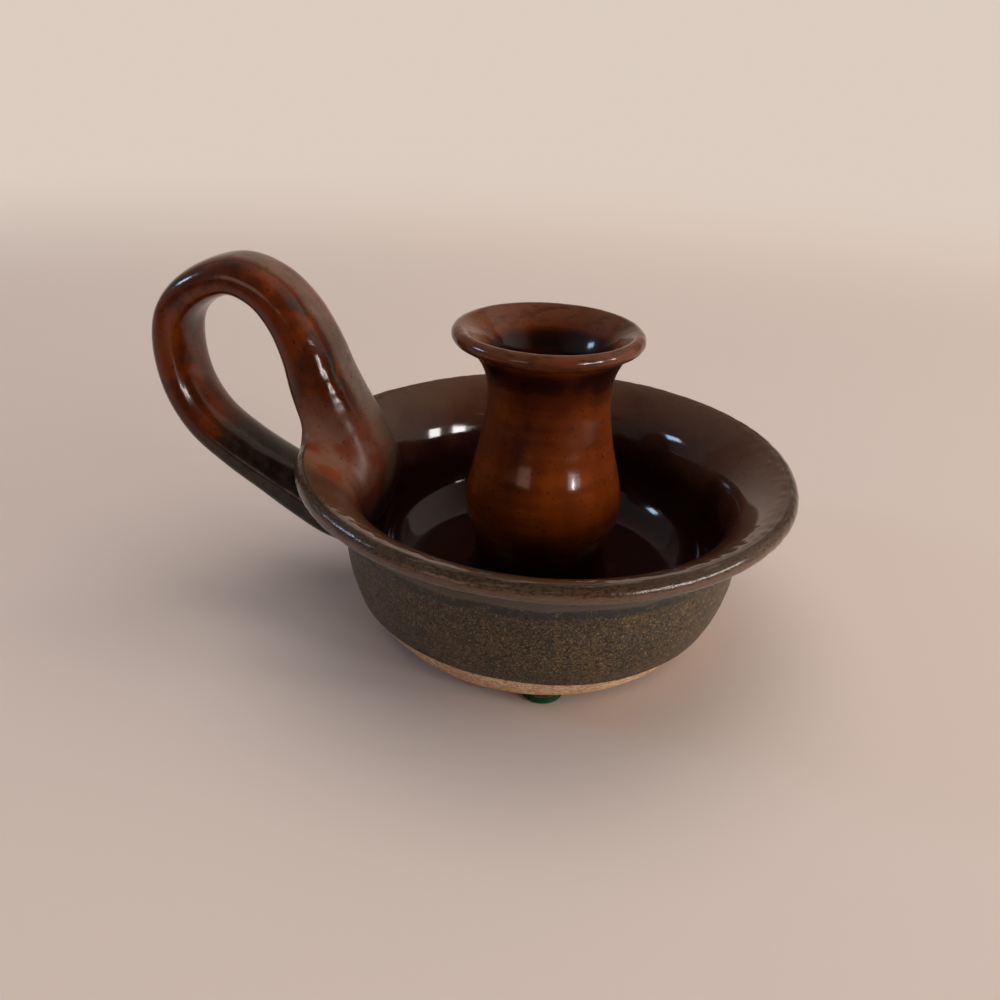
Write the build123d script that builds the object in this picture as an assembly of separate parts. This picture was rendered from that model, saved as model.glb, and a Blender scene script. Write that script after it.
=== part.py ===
import os
from build123d import *

# A stoneware chamberstick: a thrown saucer, a thrown candle socket and a pulled strap handle,
# luted together with slip, on three stick-on felt pads. Millimetres, +Z up. The origin is on the
# saucer's axis, in the plane that the pads rest on, and the handle points along -X.

# Felt pads and the adhesive film above each
pad_radius = 5.0
pad_thickness = 1.8
pad_overhang = 0.3
film_thickness = 0.2
film_setback = 0.3
front_pad_angle = 282
pad_places = ("front", "back_right", "back_left")

# Saucer
foot_radius = 41.4
foot_bevel = 0.8
wall_radius = 49.2
wall_thickness = 5.0
floor_thickness = 7.5
floor_radius = 32.0
rim_radius = 60.0
rim_height = 42.2
lip_radius = 2.2

# Candle socket
socket_height = 66.0
socket_foot_radius = 17.4
stem_radius = 16.8
belly_radius = 19.6
neck_radius = 14.8
flange_radius = 22.4
flange_lip_radius = 1.8
candle_radius = 11.1
candle_clearance = 0.2
grip_length = 17.0
funnel_depth = 11.5
socket_wall = 4.6
socket_floor = 5.0

# Strap handle
strap_width = 18.6
strap_thickness = 9.8
loop_reach = 35.8
loop_rise = 37.5

# Slip between the pieces, and the bead of it smoothed around each joint
slip_thickness = 0.3
slip_bead = 1.1

# Heights and radii that follow from these
foot_z = pad_thickness + film_thickness
floor_z = foot_z + floor_thickness
crest_z = foot_z + rim_height
socket_z = floor_z + slip_thickness
socket_top = socket_z + socket_height
inner_radius = wall_radius - wall_thickness
bore_radius = candle_radius + candle_clearance
hollow_radius = belly_radius - socket_wall
throat_z = socket_top - funnel_depth
grip_z = throat_z - grip_length
hollow_z = socket_z + socket_floor

# Directions of the outlines where they start and end, as radius and height, and the angles between
# which a lip's round edge runs, in degrees from its underside to its inner side
up = (0, 1)
down = (0, -1)
inward = (-1, 0)
saucer_foot_lean = (0.35, 1)
socket_foot_lean = (-0.3, 1)
lip_start_angle = -75
lip_end_angle = 105

# The saucer's outline. The first share is across, from foot to wall outside and from flat floor
# to wall inside, or in the flare from that side of the wall to the rim. The second is up, of the
# rim's height.
outer_wall_shares = ((0.27, 0.09), (0.66, 0.21), (0.92, 0.39))
outer_waist_share = 0.62
outer_flare_shares = ((0.15, 0.75), (0.49, 0.844))
inner_flare_shares = ((0.513, 0.936), (0.196, 0.818), (0.025, 0.64))
inner_waist_share = 0.47
cove_shares = ((0.8, 0.14), (0.4, 0.03))
raised_steps = 8

# The socket's outline: across between two of its radii, and up its height or part of it
stem_share = 0.13
swell_shares = ((0.35, 0.215), (0.84, 0.275))
belly_share = 0.345
shoulder_shares = ((0.66, 0.47), (0.32, 0.57))
neck_share = 0.75
flange_shares = ((0.10, 0.845), (0.44, 0.915))
funnel_shares = ((0.52, 0.76), (0.17, 0.40))
hollow_top_shares = ((0.35, 0.74),)
hollow_bottom_shares = ((0.9, 0.4),)

# The strap's centreline, with shares of its width and thickness there. The root and the landing go
# by a share along the wall's edge that carries them, and by how deep the strap's near side lies
# under that edge, of the wall's thickness. The arch goes out from the rim and up from its crest by
# the loop's reach and rise, and the descent goes out from the wall to the loop's end, and down from
# the crest by the rim's height.
root_shares = ((0.994, 0.624, 0.95, 0.35), (0.739, 0.844, 1.14, 0.74),
               (0.482, 0.849, 1.20, 1.08), (0.233, 0.891, 1.18, 1.44))
arch_shares = ((-0.175, 0.123, 1.14, 1.54), (-0.086, 0.33, 1.09, 1.44), (-0.014, 0.55, 1.04, 1.28),
               (0.096, 0.763, 1.0, 1.12), (0.26, 0.928, 1.0, 1.0), (0.489, 1.0, 1.0, 0.95),
               (0.776, 0.896, 1.0, 0.94), (0.947, 0.723, 0.98, 0.92), (1.0, 0.488, 0.97, 0.92),
               (0.955, 0.195, 0.96, 0.92))
descent_shares = ((0.86, -0.031, 0.96, 0.95), (0.683, -0.196, 0.96, 1.0),
                  (0.481, -0.337, 0.98, 1.07), (0.294, -0.459, 1.02, 1.16))
landing_shares = ((0.755, 0.146, 1.1, 1.26), (0.672, 1.762, 1.14, 1.3))
strap_edge_share = 0.43


def between(start, end, share):
    return start + share * (end - start)


def lip_arc(outer_radius, top, radius):
    """The round edge of a rolled lip that reaches the given outer radius and top."""
    sweep = lip_end_angle - lip_start_angle
    return CenterArc((outer_radius - radius, top - radius), radius, lip_start_angle, sweep)


def turned(section):
    """A section drawn with X as the radius and Y as the height, turned round the saucer's axis."""
    return revolve(Plane.XZ * section, Axis.Z)


def saucer_outline():
    """The saucer's outline from its foot up over the rim and down to its flat floor."""
    def points(start, end, base, shares):
        return [(between(start, end, across), base + rise * rim_height) for across, rise in shares]

    foot = (foot_radius, foot_z + foot_bevel)
    outer_waist = (wall_radius, foot_z + outer_waist_share * rim_height)
    inner_waist = (inner_radius, foot_z + inner_waist_share * rim_height)
    floor_edge = (floor_radius, floor_z)
    outer_wall = points(foot_radius, wall_radius, foot_z, outer_wall_shares)
    outer_flare = points(wall_radius, rim_radius, foot_z, outer_flare_shares)
    inner_flare = points(inner_radius, rim_radius, foot_z, inner_flare_shares)
    cove = points(floor_radius, inner_radius, floor_z, cove_shares)
    lip = lip_arc(rim_radius, crest_z, lip_radius)
    return [
        Spline(foot, *outer_wall, outer_waist, tangents=[saucer_foot_lean, up]),
        Spline(outer_waist, *outer_flare, lip @ 0, tangents=[up, lip % 0]),
        lip,
        Spline(lip @ 1, *inner_flare, inner_waist, tangents=[lip % 1, down]),
        Spline(inner_waist, *cove, floor_edge, tangents=[down, inward]),
    ]


def saucer_section():
    outline = saucer_outline()
    underside = Polyline(outline[-1] @ 1, (0, floor_z), (0, foot_z), (foot_radius - foot_bevel, foot_z),
                         outline[0] @ 0)
    return make_face([*outline, underside])


def socket_section():
    def points(start, end, base, top, shares):
        return [(between(start, end, across), between(base, top, rise)) for across, rise in shares]

    foot = (socket_foot_radius, socket_z)
    stem = (stem_radius, between(socket_z, socket_top, stem_share))
    belly = (belly_radius, between(socket_z, socket_top, belly_share))
    neck = (neck_radius, between(socket_z, socket_top, neck_share))
    widest = (hollow_radius, between(socket_z, socket_top, belly_share))
    bottom = (0, hollow_z)
    swell = points(stem_radius, belly_radius, socket_z, socket_top, swell_shares)
    shoulder = points(neck_radius, belly_radius, socket_z, socket_top, shoulder_shares)
    flange = points(neck_radius, flange_radius, socket_z, socket_top, flange_shares)
    funnel = points(bore_radius, flange_radius - flange_lip_radius, throat_z, socket_top, funnel_shares)
    hollow_top = points(bore_radius, hollow_radius, widest[1], grip_z, hollow_top_shares)
    hollow_bottom = points(0, hollow_radius, hollow_z, widest[1], hollow_bottom_shares)
    lip = lip_arc(flange_radius, socket_top, flange_lip_radius)
    return make_face([
        Polyline(bottom, (0, socket_z), foot),
        Spline(foot, stem, *swell, belly, tangents=[socket_foot_lean, up]),
        Spline(belly, *shoulder, neck, tangents=[up, up]),
        Spline(neck, *flange, lip @ 0, tangents=[up, lip % 0]),
        lip,
        Spline(lip @ 1, *funnel, (bore_radius, throat_z), tangents=[lip % 1, down]),
        Line((bore_radius, throat_z), (bore_radius, grip_z)),
        Spline((bore_radius, grip_z), *hollow_top, widest, *hollow_bottom, bottom,
               tangents=[down, inward]),
    ])


def over(edge, share, height):
    """The point at the given height over a place on one of the saucer's edges."""
    along = edge % share
    return edge @ share + height * Vector(along.Y, -along.X)


def free_rows(shares, start_radius, height):
    """Points of the strap's centreline from a radius out to the loop's end and over the rim's crest,
    each with the strap's width and thickness."""
    return [(Vector(-between(start_radius, rim_radius + loop_reach, across), 0, crest_z + rise * height),
             width_share * strap_width, thickness_share * strap_thickness)
            for across, rise, width_share, thickness_share in shares]


def wall_rows(shares, edge):
    """Points of the strap's centreline where the given edge of the saucer carries it, with the same."""
    rows = []
    for along, sunk, width_share, thickness_share in shares:
        thickness = thickness_share * strap_thickness
        place = over(edge, along, thickness / 2 - sunk * wall_thickness)
        rows.append((Vector(-place.X, 0, place.Y), width_share * strap_width, thickness))
    return rows


outer_wall, outer_flare, lip, inner_flare, cove = saucer_outline()
root = wall_rows(root_shares, inner_flare)
arch = free_rows(arch_shares, rim_radius, loop_rise)
descent = free_rows(descent_shares, wall_radius, rim_height)
landing = wall_rows(landing_shares, outer_wall)
centreline = Spline(*[point for point, width, thickness in root + arch + descent + landing])


def strap(rows, cover=0):
    """The stretch of strap through the given rows, with a skin of the given thickness all over."""
    sections = []
    for point, width, thickness in rows:
        across = Plane(point, x_dir=(0, 1, 0), z_dir=centreline % centreline.param_at_point(point))
        height = thickness + 2 * cover
        sections.append(across * RectangleRounded(width + 2 * cover, height, height * strap_edge_share))
    return loft(sections)


def raised_outline(edges, height):
    """A line at the given height over edges of the saucer's outline."""
    points = [over(edge, step / raised_steps, height) for edge in edges for step in range(raised_steps)]
    return Spline(*points, over(edges[-1], 1, height))


def wall_and_skin(thickness):
    """The saucer outside its flat floor, with a skin of the given thickness on it."""
    line = raised_outline(saucer_outline(), thickness)
    return turned(make_face([line, Polyline(line @ 1, (floor_radius, foot_z), line @ 0)]))


def wall_skin(edges, thickness):
    """A skin of the given thickness on edges of the saucer's outline."""
    line = raised_outline(edges, thickness)
    ends = Line(edges[0] @ 0, line @ 0), Line(edges[-1] @ 1, line @ 1)
    return turned(make_face([*edges, line, *ends]))


def handle():
    """The strap, cut a slip's thickness clear of the wall, without any sliver that the cut leaves."""
    cut = strap(root + arch + descent + landing) - wall_and_skin(slip_thickness)
    return cut.solids().sort_by(SortBy.VOLUME)[-1]


def handle_slip_joint(stretch, edges, handle):
    """Slip between one end of the strap and the edges that carry it, with a bead round it."""
    slip = (strap(stretch, slip_bead) & wall_skin(edges, slip_bead)) - handle
    return slip.solids().sort_by(SortBy.VOLUME)[-1]


def socket_slip_joint():
    """Slip under the socket's foot, with a bevelled bead round it."""
    edge = socket_foot_radius + slip_bead
    section = make_face(Polyline((0, floor_z), (edge, floor_z), (edge, socket_z),
                                 (stem_radius, socket_z + slip_bead), (0, socket_z + slip_bead), close=True))
    return turned(section - socket_section())


def foot_disc(index, radius, bottom, thickness):
    """A flat disc under the foot's edge, at one of the pads' places."""
    turn = Rot(0, 0, front_pad_angle + index * 360 / len(pad_places))
    place = Pos(foot_radius + pad_overhang - pad_radius, 0, bottom)
    return turn * place * Cylinder(radius, thickness, align=(Align.CENTER, Align.CENTER, Align.MIN))


pieces = {"saucer": turned(saucer_section()), "candle_socket": turned(socket_section()), "handle": handle()}
pieces["socket_slip_joint"] = socket_slip_joint()
pieces["handle_inner_slip_joint"] = handle_slip_joint(root + arch[:2], [lip, inner_flare, cove],
                                                      pieces["handle"])
pieces["handle_outer_slip_joint"] = handle_slip_joint(descent[-2:] + landing, [outer_wall, outer_flare],
                                                      pieces["handle"])
film_radius = pad_radius - film_setback
for index, place in enumerate(pad_places):
    pieces[f"felt_pad_{place}"] = foot_disc(index, pad_radius, 0, pad_thickness)
    pieces[f"pad_adhesive_{place}"] = foot_disc(index, film_radius, pad_thickness, film_thickness)

os.makedirs("parts", exist_ok=True)
for name, piece in pieces.items():
    export_step(piece, f"parts/{name}.step")
    print(f"{name}: {piece.volume:.0f} mm3, {len(piece.solids())} solid")
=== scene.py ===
# %% [markdown]
# # A stoneware chamberstick with a finger loop
# A chamberstick is a candle holder that is carried through the house: a drip saucer, a socket for
# the candle and a loop for one finger. This one was thrown on a wheel in two parts, its strap was
# pulled by hand, and the whole was glazed. We dress the packed CAD model with the looks of the
# real pot. Every piece is made in the CAD's own frame, so nothing has to be fitted afterwards.

# %% The packed model is the frame that everything is built around
import math

import bpy
import numpy as np
from mathutils import Matrix, Vector, noise


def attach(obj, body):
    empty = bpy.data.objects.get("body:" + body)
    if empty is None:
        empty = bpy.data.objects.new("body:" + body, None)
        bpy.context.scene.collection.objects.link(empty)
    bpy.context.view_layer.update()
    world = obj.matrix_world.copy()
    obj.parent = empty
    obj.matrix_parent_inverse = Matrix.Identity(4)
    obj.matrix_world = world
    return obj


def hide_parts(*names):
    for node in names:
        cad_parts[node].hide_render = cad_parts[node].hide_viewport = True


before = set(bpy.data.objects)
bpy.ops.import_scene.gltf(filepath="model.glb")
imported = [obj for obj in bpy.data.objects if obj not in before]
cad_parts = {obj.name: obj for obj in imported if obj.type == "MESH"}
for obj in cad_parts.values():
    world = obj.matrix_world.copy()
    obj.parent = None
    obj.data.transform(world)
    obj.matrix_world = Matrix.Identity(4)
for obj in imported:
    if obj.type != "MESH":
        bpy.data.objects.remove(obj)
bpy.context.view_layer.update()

# %% [markdown]
# ## The camera
# The photo looks down on the pot from a little above the rim, with the handle on the left. A lens
# is the same whatever the picture is of, so the camera comes first: its place, how far it is turned,
# how far it looks down and how far it is rolled were worked out from the ellipses of the rim, the
# flange and the foot.

# %% Place the camera
MM = 0.001
scene = bpy.context.scene


def heading(turn, rise):
    """A way, turned leftwards from the y axis and rising above the floor, in radians."""
    return Vector((-math.sin(turn) * math.cos(rise), math.cos(turn) * math.cos(rise), math.sin(rise)))


def add(name, data):
    """A new object in the scene."""
    item = bpy.data.objects.new(name, data)
    scene.collection.objects.link(item)
    return item


camera_place = Vector((25.85, -189.29, 132.22)) * MM
camera_turn, camera_pitch, camera_roll = math.radians(11), 0.491, 0.0395
camera_data = bpy.data.cameras.new("camera")
camera_data.lens, camera_data.sensor_width = 30.6, 36
camera_data.clip_start, camera_data.clip_end = 0.01, 20
camera = add("camera", camera_data)
ahead = heading(camera_turn, -camera_pitch)
across = Vector((math.cos(camera_turn), math.sin(camera_turn), 0))
above = across.cross(ahead)
camera_right = math.cos(camera_roll) * across + math.sin(camera_roll) * above
camera_up = -math.sin(camera_roll) * across + math.cos(camera_roll) * above
axes = Matrix((camera_right, camera_up, -ahead)).transposed()
camera.matrix_world = Matrix.Translation(camera_place) @ axes.to_4x4()
scene.camera = camera
print("camera looks down by", round(math.degrees(camera_pitch), 1), "degrees")

# %% [markdown]
# ## Floor and light
# The pot stands on a plain pale floor that curves up behind it. The light is that of a quiet
# studio: a big soft lamp overhead, a window on the right and a cooler window on the left. Glaze is
# like a dark mirror, so what it mirrors matters as much as its colour: the lamps are flat
# rectangles, which show in it as windows do.

# %% Make the floor with its curved backdrop
def new_piece(name, vertices, faces):
    """A mesh object from points in millimetres."""
    mesh = bpy.data.meshes.new(name)
    vertices = np.asarray(vertices, float) * MM
    mesh.from_pydata([tuple(v) for v in vertices], [], [tuple(f) for f in faces])
    mesh.validate()
    mesh.polygons.foreach_set("use_smooth", [True] * len(mesh.polygons))
    return add(name, mesh)


def grid_faces(rows, columns, closed):
    """The quads of a grid of points, row after row; closed joins the last column to the first."""
    faces = []
    for row in range(rows - 1):
        for column in range(columns if closed else columns - 1):
            right = (column + 1) % columns
            faces.append((row * columns + column, row * columns + right,
                          (row + 1) * columns + right, (row + 1) * columns + column))
    return faces


floor_half, backdrop_start, backdrop_radius, backdrop_height = 3000, 700, 900, 1600
bend = [(backdrop_start + backdrop_radius * math.sin(a), backdrop_radius * (1 - math.cos(a)))
        for a in np.linspace(0, math.pi / 2, 25)]
outline = [(-floor_half, 0), *bend, (bend[-1][0], backdrop_height)]
look = np.array([-math.sin(camera_turn), math.cos(camera_turn)])
side = np.array([look[1], -look[0]])
floor_points = [(*(look * far + side * wide), high)
                for far, high in outline for wide in (-floor_half, floor_half)]
floor = new_piece("floor", floor_points, grid_faces(len(outline), 2, False))
print("floor has", len(floor.data.polygons), "faces")

# %% Nodes in short
class Mixer:
    """A node tree in which numbers, vectors and colours are mixed."""

    def __init__(self, tree):
        self.tree = tree

    def node(self, kind, values=(), **settings):
        item = self.tree.nodes.new(kind)
        for name, value in settings.items():
            setattr(item, name, value)
        for index, value in dict(values).items():
            if isinstance(value, bpy.types.NodeSocket):
                self.tree.links.new(value, item.inputs[index])
            else:
                item.inputs[index].default_value = value
        return item

    def number(self, operation, *values):
        return self.node("ShaderNodeMath", enumerate(values), operation=operation).outputs[0]

    def chain(self, operation, values):
        result = values[0]
        for value in values[1:]:
            result = self.number(operation, result, value)
        return result

    def product(self, *values):
        return self.chain("MULTIPLY", values)

    def total(self, *values):
        return self.chain("ADD", values)

    def swing(self, value, width, middle=0.5):
        """How far a value is from its middle, made so many times as wide."""
        return self.product(self.number("SUBTRACT", value, middle), width)

    def vector(self, operation, *values, scale=None, output=0):
        inputs = dict(enumerate(values)) | ({"Scale": scale} if scale is not None else {})
        return self.node("ShaderNodeVectorMath", inputs, operation=operation).outputs[output]

    def between(self, value, low, high):
        """0 below low, 1 above high and a soft step in between."""
        return self.node("ShaderNodeMapRange", {"Value": value, "From Min": low, "From Max": high},
                         interpolation_type="SMOOTHSTEP").outputs["Result"]

    def band(self, value, start, full, ebb, end):
        """1 from full to ebb, 0 before start and after end."""
        return self.product(self.between(value, start, full), self.between(value, end, ebb))

    def mix(self, share, under, over):
        under, over = [(*c, 1) if isinstance(c, tuple) and len(c) == 3 else c for c in (under, over)]
        return self.node("ShaderNodeMix", {0: share, 6: under, 7: over}, data_type="RGBA").outputs[2]

    def swap(self, share, under, over):
        """Between two numbers, as mix is between two colours."""
        return self.node("ShaderNodeMix", {0: share, 2: under, 3: over}).outputs[0]


print("a mixer can:", [name for name in vars(Mixer) if not name.startswith("_")])

# %% Paint the floor a plain warm white that fades into the backdrop far from the pot
backdrop_colour = (0.71, 0.605, 0.525)
near_floor, far_floor, dim_floor = (0.54, 0.45, 0.405), (0.78, 0.665, 0.585), (0.03, 0.027, 0.024)
floor_material = bpy.data.materials.new("pale_floor")
floor_material.use_nodes = True
mixer = Mixer(floor_material.node_tree)
floor_shader = mixer.tree.nodes["Principled BSDF"]
floor_shader.inputs["Roughness"].default_value = 0.9
floor_shader.inputs["Specular IOR Level"].default_value = 0.2
floor_place = mixer.node("ShaderNodeTexCoord").outputs["Object"]
metres_ahead = mixer.vector("DOT_PRODUCT", floor_place, (*look, 0), output=1)
metres_away = mixer.vector("LENGTH", floor_place, output=1)
rays = mixer.node("ShaderNodeLightPath").outputs
floor_colour = mixer.mix(mixer.between(metres_ahead, 0.2, 0.9), near_floor, far_floor)
# mirrored in the glaze, the table ends a little in front of the pot
table_end = mixer.product(rays["Is Glossy Ray"], mixer.between(metres_ahead, -0.06, -0.20))
floor_colour = mixer.mix(table_end, floor_colour, dim_floor)
mixer.tree.links.new(floor_colour, floor_shader.inputs["Base Color"])
distant = mixer.product(rays["Is Camera Ray"], mixer.between(metres_away, 0.35, 0.9))
haze = mixer.node("ShaderNodeEmission", {"Color": (*backdrop_colour, 1)})
fade = mixer.node("ShaderNodeMixShader", {0: distant, 1: floor_shader.outputs[0], 2: haze.outputs[0]})
mixer.tree.links.new(fade.outputs[0], mixer.tree.nodes["Material Output"].inputs["Surface"])
floor.data.materials.append(floor_material)
print("floor's paint:", len(mixer.tree.nodes), "nodes")

# %% Hang the lamps
pot_middle = Vector((0, 0, 35)) * MM


def lamp(name, turn, height, distance, size, watts, colour):
    """A rectangular lamp that shines at the pot. Turn and height are in degrees, leftwards from the
    way the camera looks and above the floor; distance and size are in metres."""
    data = bpy.data.lights.new(name, "AREA")
    data.shape, data.size, data.size_y = "RECTANGLE", *size
    data.energy, data.color = watts, colour
    away = heading(camera_turn + math.radians(turn), math.radians(height))
    item = add(name, data)
    item.location = pot_middle + away * distance
    item.rotation_euler = away.to_track_quat("Z", "Y").to_euler()
    return item


for fill in (lamp("overhead_fill", 0, 84, 1.4, (1.6, 1.6), 14, (1, 0.97, 0.94)),
             lamp("right_fill", -92, 20, 1.4, (1.0, 0.8), 6, (1, 0.90, 0.80)),
             lamp("backdrop_fill", -20, 60, 1.5, (1.2, 1.2), 3, (1, 0.96, 0.92))):
    fill.visible_glossy = False
lamp("right_wall", -136, 8, 1.3, (0.46, 0.40), 3.0, (1, 0.90, 0.84))
lamp("right_window", -103, 12, 1.25, (0.17, 0.17), 2.8, (1, 0.96, 0.93))
lamp("front_right_window", -121, 13, 1.25, (0.20, 0.19), 4.2, (1, 0.97, 0.94))
lamp("front_window", -135, 9, 1.25, (0.10, 0.07), 1.2, (1, 0.97, 0.94))
lamp("front_lamp", -138, 3.5, 1.25, (0.07, 0.07), 1.1, (1, 0.97, 0.94))
lamp("back_door", 146, 7, 1.3, (0.46, 0.42), 1.2, (1, 0.62, 0.48))
lamp("left_window", 86, 26, 1.2, (0.22, 0.14), 2.0, (0.5, 0.72, 1))

# %% A room round the pot: pale ahead, warm on the right, grey on the left, dim behind the camera
world = bpy.data.worlds.new("room")
world.use_nodes = True
room = Mixer(world.node_tree)
way = room.node("ShaderNodeTexCoord").outputs["Generated"]


def wall(walls, towards, low, high, colour):
    """The walls so far, with one more in that direction."""
    share = room.between(room.vector("DOT_PRODUCT", way, (*towards, 0), output=1), low, high)
    return room.mix(share, walls, colour)


walls = wall((0.04, 0.038, 0.036), look, -0.2, 0.7, (0.30, 0.27, 0.24))
walls = wall(walls, side * 0.87 + look * 0.5, 0.2, 0.85, (0.72, 0.62, 0.53))
walls = wall(walls, -side, 0.1, 0.9, (0.22, 0.22, 0.23))
seen = room.node("ShaderNodeLightPath").outputs["Is Camera Ray"]
room.tree.links.new(room.mix(seen, walls, backdrop_colour),
                    room.tree.nodes["Background"].inputs["Color"])
scene.world = world
scene.view_settings.view_transform = "Standard"
print("room:", len(room.tree.nodes), "nodes")

# %% [markdown]
# ## How a thrown pot is drawn
# A pot on the wheel is a line turned round an axis. We write the line as a few measured points,
# draw a smooth curve through them, and turn it. A potter's hand leaves traces, so every point may
# then be pushed a little along the surface's normal: throwing rings, a rim that isn't quite
# round or level, the step where the glaze ends.

# %% A smooth line through measured points
def smooth_line(points, fine=40):
    """A centripetal Catmull-Rom curve through points, finely sampled."""
    points = np.asarray(points, float)
    points = np.vstack([2 * points[0] - points[1], points, 2 * points[-1] - points[-2]])
    line = []
    for a, b, c, d in zip(points, points[1:], points[2:], points[3:]):
        t = np.cumsum([0, *[np.linalg.norm(q - p) ** 0.5 for p, q in ((a, b), (b, c), (c, d))]])
        s = np.linspace(t[1], t[2], fine, endpoint=False)[:, None]
        ab = ((t[1] - s) * a + (s - t[0]) * b) / (t[1] - t[0])
        bc = ((t[2] - s) * b + (s - t[1]) * c) / (t[2] - t[1])
        cd = ((t[3] - s) * c + (s - t[2]) * d) / (t[3] - t[2])
        abc = ((t[2] - s) * ab + (s - t[0]) * bc) / (t[2] - t[0])
        bcd = ((t[3] - s) * bc + (s - t[1]) * cd) / (t[3] - t[1])
        line.append(((t[2] - s) * abc + (s - t[1]) * bcd) / (t[2] - t[1]))
    return np.vstack([*line, points[-2]])


def spaced(line, spacing):
    """The same line with its points as far apart as spacing says, a number or a rule for places."""
    steps = np.linalg.norm(np.diff(line, axis=0), axis=1)
    wanted = spacing((line[1:] + line[:-1]) / 2) if callable(spacing) else spacing
    count = np.concatenate([[0], np.cumsum(steps / wanted)])
    at = np.linspace(0, count[-1], max(2, round(count[-1])) + 1)
    return np.column_stack([np.interp(at, count, line[:, k]) for k in range(line.shape[1])])


def normals_of(line):
    """Unit normals on the right-hand side of a line of (radius, height) points."""
    along = np.gradient(line, axis=0)
    along /= np.linalg.norm(along, axis=1)[:, None]
    return np.column_stack([along[:, 1], -along[:, 0]])


def arc(centre_radius, centre_height, radius, start, end, count=9):
    """Points of a round edge, between two angles in degrees."""
    return [(centre_radius + radius * math.cos(a), centre_height + radius * math.sin(a))
            for a in np.radians(np.linspace(start, end, count))]


print("a quarter circle has", len(arc(0, 0, 1, 0, 90)), "points")

# %% Turn a line round the wheel's axis
def thrown(name, line, segments, push, centre=(0, 0, 0)):
    """A solid of revolution whose line starts and ends on the axis. push(points, rows) gives how far
    each point moves along its normal, and a sideways shift."""
    inner = line[1:-1]
    normals = normals_of(line)[1:-1]
    angles = np.linspace(0, 2 * math.pi, segments, endpoint=False)
    outward = np.column_stack([np.cos(angles), np.sin(angles), np.zeros(segments)])
    upward = np.array([0, 0, 1])
    points, lift = (pairs[:, 0, None, None] * outward + upward * pairs[:, 1, None, None]
                    for pairs in (inner, normals))
    flat = points.reshape(-1, 3)
    pushed, shifted = push(flat, np.repeat(np.arange(len(inner)), segments))
    flat = flat + lift.reshape(-1, 3) * pushed[:, None] + shifted
    first, last = len(flat), len(flat) + 1
    poles = [(0, 0, line[0][1]), (0, 0, line[-1][1])]
    faces = grid_faces(len(inner), segments, True)
    for k in range(segments):
        faces.append((first, (k + 1) % segments, k))
        end = (len(inner) - 1) * segments
        faces.append((last, end + k, end + (k + 1) % segments))
    return new_piece(name, np.vstack([flat, poles]) + np.array(centre), faces)


print("a thrown piece has a pole at each end")

# %% The traces of a hand: soft steps, even waves and smooth noise
def smoothstep(low, high, value):
    t = np.clip((value - low) / (high - low), 0, 1)
    return t * t * (3 - 2 * t)


def wave(place, length, start=0):
    return np.sin(2 * math.pi * place / length + start)


def bumps(points, wavelength, seed):
    """Smooth noise between -1 and 1 at points in millimetres, with no random draws."""
    shift = Vector((seed * 17.3, seed * -9.1, seed * 5.7))
    return np.array([noise.noise(Vector(p) / wavelength + shift) for p in points])


def round_axis(points):
    """How far each point is from the axis, its angle round it and its height."""
    return np.hypot(points[:, 0], points[:, 1]), np.arctan2(points[:, 1], points[:, 0]), points[:, 2]


print("smoothstep half way:", smoothstep(0, 1, np.array(0.5)))

# %% [markdown]
# ## How glaze is painted
# A glaze is a thin glass that a potter pours over the clay. It looks darker where it lies thick and
# rusty where it runs thin, and every patch differs a little. We could paint pictures and wrap them
# round the pot, but pictures stretch and need unwrapping. So each colour is mixed by nodes instead,
# from noise that is measured in millimetres, and from marks that are kept on the points of the mesh.

# %% A small box of brushes
def mark(piece, **marks):
    """Keep named numbers for each point of a piece, for its paint to read."""
    for name, values in marks.items():
        layer = piece.data.attributes.new(name, "FLOAT", "POINT")
        layer.data.foreach_set("value", np.asarray(values, np.float32))


def places_of(piece):
    """The points of a piece in millimetres."""
    places = np.empty(len(piece.data.vertices) * 3)
    piece.data.vertices.foreach_get("co", places)
    return places.reshape(-1, 3) / MM


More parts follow.
